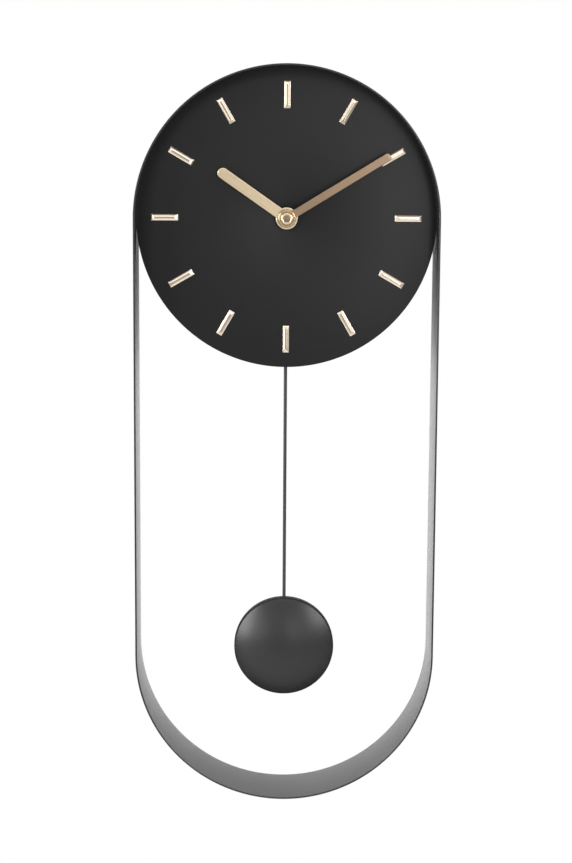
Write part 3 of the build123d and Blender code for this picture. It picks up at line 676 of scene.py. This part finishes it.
bob_section = np.concatenate([dome_line(BOB_WALL)[::-1], dome_line(0.0)])
add_piece("bob", lathe(bob_section, z=BOB_Z, turns=192), bob_coat, "pendulum", ["bob_shell"])

# %% [markdown]
# ## Finishes for the pieces behind the dial
#
# The movement, its gears and the brackets keep their solids. Moulded edges are never quite sharp, so a Bevel
# modifier softens them, after Weld joins the loose triangles of a solid and Decimate merges those that lie in
# one plane. The finishes are those of a stock movement: grained black plastic, pale plastic gears, drawn
# steel, brass, rubber, a circuit board and enamelled copper wire. The cell's sleeve changes colour along its
# length by its place in X.

# %% Movement finishes
GRAIN_LIGHT, GRAIN_LIFT = 1.2, 0.004
GRAIN_SWING = 0.14
GRAIN_DEPTH = 1.2e-5
WIRE_SCALE, WIRE_WANDER = 700.0, 0.4
WIRE_DARK = 0.55
WIRE_DEPTH = 6e-5
COPPER_START = 0.66
CELL_END = 1.6 * MM
SCUFF_SCALE = 300.0


def moulded(name, colour, roughness, grain_scale=1400.0):
    """Moulded plastic: spark-grain bump and a roughness that follows it."""
    material, shader, place = new_finish(name)
    grain = noise(place, grain_scale, detail=3.0)
    paler = rgb(*(min(1.0, GRAIN_LIGHT * level + GRAIN_LIFT) for level in colour[:3]))
    dress(shader, Base_Color=tint(place, grain, colour, paler),
          Roughness=swing(grain, roughness, GRAIN_SWING), Normal=relief(place, grain, GRAIN_DEPTH))
    return material


def wound(name, colour):
    """Enamelled wire side by side: fine ridges across the winding."""
    material, shader, place = new_finish(name, Metallic=0.6)
    sockets = {"Vector": place, "Scale": WIRE_SCALE, "Distortion": WIRE_WANDER}
    ridges = place.node("ShaderNodeTexWave", sockets, output="Fac", bands_direction="X")
    dress(shader, Base_Color=tint(place, ridges, shade(colour, WIRE_DARK), colour),
          Roughness=swing(ridges, 0.35, 0.1), Normal=relief(place, ridges, WIRE_DEPTH))
    return material


def cell_sleeve_finish(name, low, high):
    """A printed cell from low to high in X: a dark sleeve, a copper-coloured third, and bare steel ends."""
    material, shader, place = new_finish(name)
    along = place.node("ShaderNodeSeparateXYZ", {"Vector": place}, output="X")
    copper = along.maths("GREATER_THAN", along, low + COPPER_START * (high - low))
    off_middle = along.node("ShaderNodeMath", {0: along - (low + high) / 2}, operation="ABSOLUTE")
    steel = along.maths("GREATER_THAN", off_middle, (high - low) / 2 - CELL_END)
    scuff = noise(place, SCUFF_SCALE, detail=3.0)
    sleeve = tint(place, scuff, rgb(0.02, 0.022, 0.03), rgb(0.035, 0.037, 0.045))
    sleeve = tint(place, copper, sleeve, rgb(0.5, 0.24, 0.1))
    dress(shader, Base_Color=tint(place, steel, sleeve, rgb(0.62, 0.62, 0.63)),
          Metallic=along.maths("MAXIMUM", copper * 0.7, steel), Roughness=swing(scuff, 0.3, 0.12))
    return material


black_plastic = moulded("movement_black_plastic", rgb(0.018, 0.018, 0.019), roughness=0.5)
pale_plastic = moulded("gear_pale_plastic", rgb(0.72, 0.7, 0.64), roughness=0.42, grain_scale=600.0)
board_green = moulded("circuit_board_green", rgb(0.02, 0.12, 0.045), roughness=0.38, grain_scale=300.0)
gasket_rubber = moulded("gasket_rubber", rgb(0.014, 0.014, 0.014), roughness=0.75, grain_scale=2200.0)
drawn_steel = polished("drawn_steel", rgb(0.6, 0.6, 0.61), roughness=0.3)
turned_brass = polished("turned_brass", rgb(0.78, 0.62, 0.34), roughness=0.24)
copper_wire = wound("copper_wire", rgb(0.7, 0.32, 0.15))
battery_low, battery_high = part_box("battery")
cell_sleeve = cell_sleeve_finish("cell_sleeve", battery_low[0], battery_high[0])
label_foil = moulded("label_foil", rgb(0.62, 0.62, 0.6), roughness=0.4, grain_scale=900.0)
print("movement finishes made")

# %% [markdown]
# ## Putting the finishes on
#
# A solid that stays takes its finish in its material slot, which leaves its mesh as it was loaded. Two tables
# say which solid gets which finish, and how many millimetres its edges are rounded by.

# %% Finished solids
BRACKETS = ["hanger_bracket", "dial_bracket_left", "dial_bracket_top", "dial_bracket_right"]
FINISHES = {
    bracket_coat: BRACKETS + ["bob_back"],
    black_plastic: ["front_housing", "rear_cover", "setting_knob", "pendulum_leader"],
    pale_plastic: ["minute_wheel", "hour_wheel", "drive_unit"],
    board_green: ["circuit_board"],
    gasket_rubber: ["dial_gasket"],
    drawn_steel: ["minute_wheel_pin", "pivot_pin", "cover_screws", "negative_contact", "positive_contact",
                  "pendulum_magnet", "motor_core"],
    turned_brass: ["centre_bush", "dial_washer", "dial_nut"],
    boss_gold: ["minute_arbor"],
    copper_wire: ["motor_coil", "pulse_coil"],
    cell_sleeve: ["battery"],
}
SOFTENED = {
    0.5: ["front_housing", "rear_cover", "battery"],
    0.3: BRACKETS + ["pendulum_leader"],
    0.25: ["setting_knob"],
    0.2: ["cover_screws", "bob_back", "dial_nut"],
}
WELD_GAP = 1e-6
FLAT_ANGLE = math.radians(1)
EDGE_ANGLE = math.radians(40)


def soften(thing, width):
    """Rounds the sharp edges of a solid by a width in millimetres."""
    weld = thing.modifiers.new("weld", "WELD")
    weld.merge_threshold = WELD_GAP
    merge = thing.modifiers.new("merge_flats", "DECIMATE")
    merge.decimate_type = "DISSOLVE"
    merge.angle_limit = FLAT_ANGLE
    bevel = thing.modifiers.new("soft_edges", "BEVEL")
    bevel.width = width * MM
    bevel.segments = 2
    bevel.limit_method = "ANGLE"
    bevel.angle_limit = EDGE_ANGLE
    bevel.use_clamp_overlap = True
    thing.modifiers.new("even_shading", "WEIGHTED_NORMAL")


for material, names in FINISHES.items():
    for name in names:
        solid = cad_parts[name]
        solid.data.materials.clear()
        solid.data.materials.append(material)
for width, names in SOFTENED.items():
    for name in names:
        soften(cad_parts[name], width)
print("finished solids:", sum(len(names) for names in FINISHES.values()))

# %% [markdown]
# ## Marks on the movement's back
#
# A stock movement has a plus and a minus moulded over its cell, a ring round its setting knob and a label.
# The label is left blank. These are low bars with bevelled sides, made by the same rings as the hour markers,
# and one turned ring.

# %% Marks
COVER_BACK = depth_of("rear_cover")[0]
MARK_RISE, MARK_BEVEL = 0.45 * MM, 0.2 * MM
MARK_LONG, MARK_STROKE = 4.6 * MM, 1.2 * MM
MARK_X, MARK_Z = 23.0 * MM, DIAL_Z - 10.0 * MM
POSITIVE_SIDE = 1 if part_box("positive_contact")[0][0] > 0 else -1
PLUS_X = POSITIVE_SIDE * MARK_X
LABEL_X, LABEL_Z = -10.0 * MM, DIAL_Z + 8.0 * MM
LABEL_WIDTH, LABEL_HEIGHT, LABEL_RISE = 30.0 * MM, 20.0 * MM, 0.15 * MM
RING_GAP, RING_WIDTH, RING_ROUND = 0.8 * MM, 1.0 * MM, 0.25 * MM


def low_bar(name, x, z, width, length, rise, material):
    """A bevelled bar on the cover's back, as wide along X and as long along Z as asked."""
    across, along, height = bar_rings(width, length, 0.5 * rise, rise, MARK_BEVEL, MARK_BEVEL)
    bar = np.stack([x + across, -COVER_BACK + height, z + along], axis=-1)
    add_piece(name, bar, material, "case", sharp=BAR_SHARP)


low_bar("plus_across", PLUS_X, MARK_Z, MARK_LONG, MARK_STROKE, MARK_RISE, black_plastic)
low_bar("plus_up", PLUS_X, MARK_Z, MARK_STROKE, MARK_LONG, MARK_RISE, black_plastic)
low_bar("minus", -PLUS_X, MARK_Z, MARK_LONG, MARK_STROKE, MARK_RISE, black_plastic)
low_bar("blank_label", LABEL_X, LABEL_Z, LABEL_WIDTH, LABEL_HEIGHT, LABEL_RISE, label_foil)
knob_low, knob_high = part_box("setting_knob")
KNOB_X = (knob_low[0] + knob_high[0]) / 2
RING_R = half_width("setting_knob") + RING_GAP
ring_section = rounded_section(
    (RING_R, COVER_BACK - MARK_RISE), (RING_R + RING_WIDTH, COVER_BACK + MARK_RISE), RING_ROUND)
ring_surface = lathe(ring_section, KNOB_X, DIAL_Z, turns=96)
add_piece("knob_ring", ring_surface, black_plastic, "case", wrap=(True, True))

# %% [markdown]
# ## Camera
#
# The photograph looks at the clock from the height of its hanger, tilted down a little. Place, tilt and lens
# were measured from the outline of the hoop and the places of the markers. The frame is taller than wide, so
# the sensor's width lies along its height.

# %% Camera
IMAGE_HEIGHT = 863.0
FOCAL_PIXELS = 2014.86
SENSOR = 36.0
CAMERA_PLACE = np.array([-16.53, -1377.86, 1.27]) * MM
PITCH, YAW, ROLL = 0.1657, -0.0126, 0.0065


def view_axes(pitch, yaw, roll):
    """Rows right, down and forward of the view, from turns about its own axes: yaw, pitch, then roll."""
    cos_x, sin_x = math.cos(pitch), math.sin(pitch)
    cos_y, sin_y = math.cos(yaw), math.sin(yaw)
    cos_z, sin_z = math.cos(roll), math.sin(roll)
    about_x = np.array([[1, 0, 0], [0, cos_x, -sin_x], [0, sin_x, cos_x]])
    about_y = np.array([[cos_y, 0, sin_y], [0, 1, 0], [-sin_y, 0, cos_y]])
    about_z = np.array([[cos_z, -sin_z, 0], [sin_z, cos_z, 0], [0, 0, 1]])
    view = about_z @ about_x @ about_y
    return np.stack([view[:, 0], view[:, 2], -view[:, 1]], axis=-1)


right, down, forward = view_axes(PITCH, YAW, ROLL)
stand = np.eye(4)
stand[:3, :3] = np.stack([right, -down, -forward], axis=-1)
stand[:3, 3] = CAMERA_PLACE
lens = bpy.data.cameras.new("camera")
lens.sensor_width = SENSOR
lens.lens = FOCAL_PIXELS * SENSOR / IMAGE_HEIGHT
camera = bpy.data.objects.new("camera", lens)
camera.matrix_world = Matrix(stand.tolist())
bpy.context.scene.collection.objects.link(camera)
bpy.context.scene.camera = camera
print("lens", round(lens.lens, 2), "mm")

# %% [markdown]
# ## Room and lamps
#
# A white room with soft light. The world is white where the camera looks at it. In reflections it is white
# too, but darker round the camera, as the photographer's end of a studio is, and under the ceiling there.
# Seven area lamps stand round the clock. The two large ones, left and right, give the bob and the bevels of
# the markers their highlights. The top box, the two strips and the ceiling box are weaker and fill in between
# them, and the back box lights the movement when the clock is looked at from behind.

# %% Room and lamps
WHITE, BLACK = rgb(1.0, 1.0, 1.0), rgb(0.0, 0.0, 0.0)
ROOM_LIGHT = 0.4
CAMERA_GLOOM, CAMERA_GLOOM_FROM, CAMERA_GLOOM_TO = 0.6, -0.995, -0.96
CEILING_GLOOM, CEILING_GLOOM_FROM, CEILING_GLOOM_TO = 0.8, 0.2, 0.6
FRONT_FROM, FRONT_TO = -0.4, 0.0
MIDDLE = (0.0, 0.0, (DIAL_Z + BOB_Z) / 2)
LAMPS = {
    "soft_box_left": {"place": (-1.4, -0.85, 0.2), "width": 0.7, "height": 1.3, "radiance": 11.0},
    "soft_box_right": {"place": (1.4, -0.75, 0.5), "width": 1.2, "height": 1.0, "radiance": 7.5},
    "soft_box_top": {"place": (0.0, -1.2, 0.42), "width": 1.0, "height": 0.2, "radiance": 1.2},
    "strip_right": {"place": (0.30, -1.32, -0.12), "width": 0.24, "height": 0.6, "radiance": 2.5},
    "ceiling_box": {"place": (0.0, -0.45, 1.0), "width": 1.2, "height": 0.8, "radiance": 2.5},
    "back_box": {"place": (0.5, 1.4, 0.3), "width": 1.2, "height": 1.2, "radiance": 3.0},
    "strip_left": {"place": (-0.72, -1.25, -0.1), "width": 0.2, "height": 0.7, "radiance": 1.8},
}


def white_room():
    """The world: white to the camera, a plain soft light to surfaces, and white with gloom to reflections.

    The gloom is a patch round the camera's own direction, and the ceiling on the camera's side of the room.
    """
    world = bpy.data.worlds.new("white_room")
    world.use_nodes = True
    bpy.context.scene.world = world
    nodes = world.node_tree.nodes
    ray = nodes.new("ShaderNodeLightPath")
    camera_ray = Signal(ray.outputs["Is Camera Ray"])
    glossy = Signal(ray.outputs["Is Glossy Ray"])
    clear = Signal(ray.outputs["Is Transmission Ray"])
    way = Signal(nodes.new("ShaderNodeTexCoord").outputs["Generated"])
    back = way.node("ShaderNodeSeparateXYZ", {"Vector": way}, output="Y")
    up = way.node("ShaderNodeSeparateXYZ", {"Vector": way}, output="Z")
    gloom = spread(back, CAMERA_GLOOM_FROM, CAMERA_GLOOM_TO, CAMERA_GLOOM, 0.0)
    dim = spread(up, CEILING_GLOOM_FROM, CEILING_GLOOM_TO, 0.0, CEILING_GLOOM)
    in_front = spread(back, FRONT_FROM, FRONT_TO, 1.0, 0.0, easing="LINEAR")
    mirrored = back.maths("MINIMUM", glossy + clear, 1.0)
    lit = mirrored * (1 - gloom - dim * in_front) + (1 - mirrored) * ROOM_LIGHT
    dress(nodes["Background"], Color=WHITE, Strength=camera_ray + (1 - camera_ray) * lit)


def soft_box(name, place, width, height, radiance):
    """An area lamp that faces the clock's middle. Its power is radiance times its area times pi."""
    lamp = bpy.data.lights.new(name, "AREA")
    lamp.shape = "RECTANGLE"
    lamp.size, lamp.size_y = width, height
    lamp.energy = radiance * width * height * math.pi
    thing = bpy.data.objects.new(name, lamp)
    back = np.array(place) - np.array(MIDDLE)
    back /= np.linalg.norm(back)
    side = np.cross((0, 0, 1), back)
    side /= np.linalg.norm(side)
    turn = np.eye(4)
    turn[:3, :3] = np.stack([side, np.cross(back, side), back], axis=-1)
    turn[:3, 3] = place
    thing.matrix_world = Matrix(turn.tolist())
    bpy.context.scene.collection.objects.link(thing)


white_room()
for name, sizes in LAMPS.items():
    soft_box(name, **sizes)
print("lamps:", len(LAMPS))

# %% [markdown]
# ## Floor and wall
#
# Two wide pale sheets. The floor lies far below and throws soft light up at the clock. The camera looks
# through it, so that the clock can be seen from below. The wall is seen only in reflections: the satin band
# mirrors it, and the clock can still be looked at from behind. It glows a little, except round the dial,
# where a soft shadow would fall, and a hole keeps it out of the movement's own reflections.

# %% Floor and wall
FLOOR_DROP = 0.35
FLOOR_R = 6.0
FLOOR_PALENESS = 0.6
WALL_GAP = 0.001
WALL_HOLE_R, WALL_R = 0.094, 2.0
WALL_PALENESS = 0.92
WALL_GLOW = 0.18
SHADOW_INNER_R, SHADOW_OUTER_R = 0.105, 0.155


def pale_sheet(name, grid, paleness):
    """A wide flat stage piece with a pale paint; returns it, its shader and its place signal."""
    paint = rgb(paleness, paleness, paleness)
    material, shader, place = new_finish(name, Base_Color=paint, Roughness=0.9)
    mesh = bpy.data.meshes.new(name)
    mesh.from_pydata(grid.reshape(-1, 3), [], grid_faces(*grid.shape[:2], False, True).tolist())
    mesh.materials.append(material)
    sheet = bpy.data.objects.new(name, mesh)
    bpy.context.scene.collection.objects.link(sheet)
    return sheet, shader, place


floor_ring = lathe(np.array([(0.0, 0.0), (FLOOR_R, 0.0)]), turns=64)[..., [0, 2, 1]]
floor, _, _ = pale_sheet("floor", floor_ring + (0, 0, cad_low[2] - FLOOR_DROP), FLOOR_PALENESS)
floor.visible_camera = False
wall_ring = lathe(np.array([(WALL_HOLE_R, -WALL_GAP), (WALL_R, -WALL_GAP)]), z=DIAL_Z, turns=96)
wall, wall_shader, spot = pale_sheet("wall", wall_ring, WALL_PALENESS)
off_dial = spot.node(
    "ShaderNodeVectorMath", {0: spot, 1: (0, 0, DIAL_Z)}, output="Value", operation="DISTANCE")
glow = tint(spot, spread(off_dial, SHADOW_INNER_R, SHADOW_OUTER_R), BLACK, WHITE)
dress(wall_shader, Emission_Color=glow, Emission_Strength=WALL_GLOW)
wall.visible_camera = wall.visible_diffuse = wall.visible_shadow = wall.visible_transmission = False
bpy.context.scene.view_settings.view_transform = "Standard"
print("studio ready")
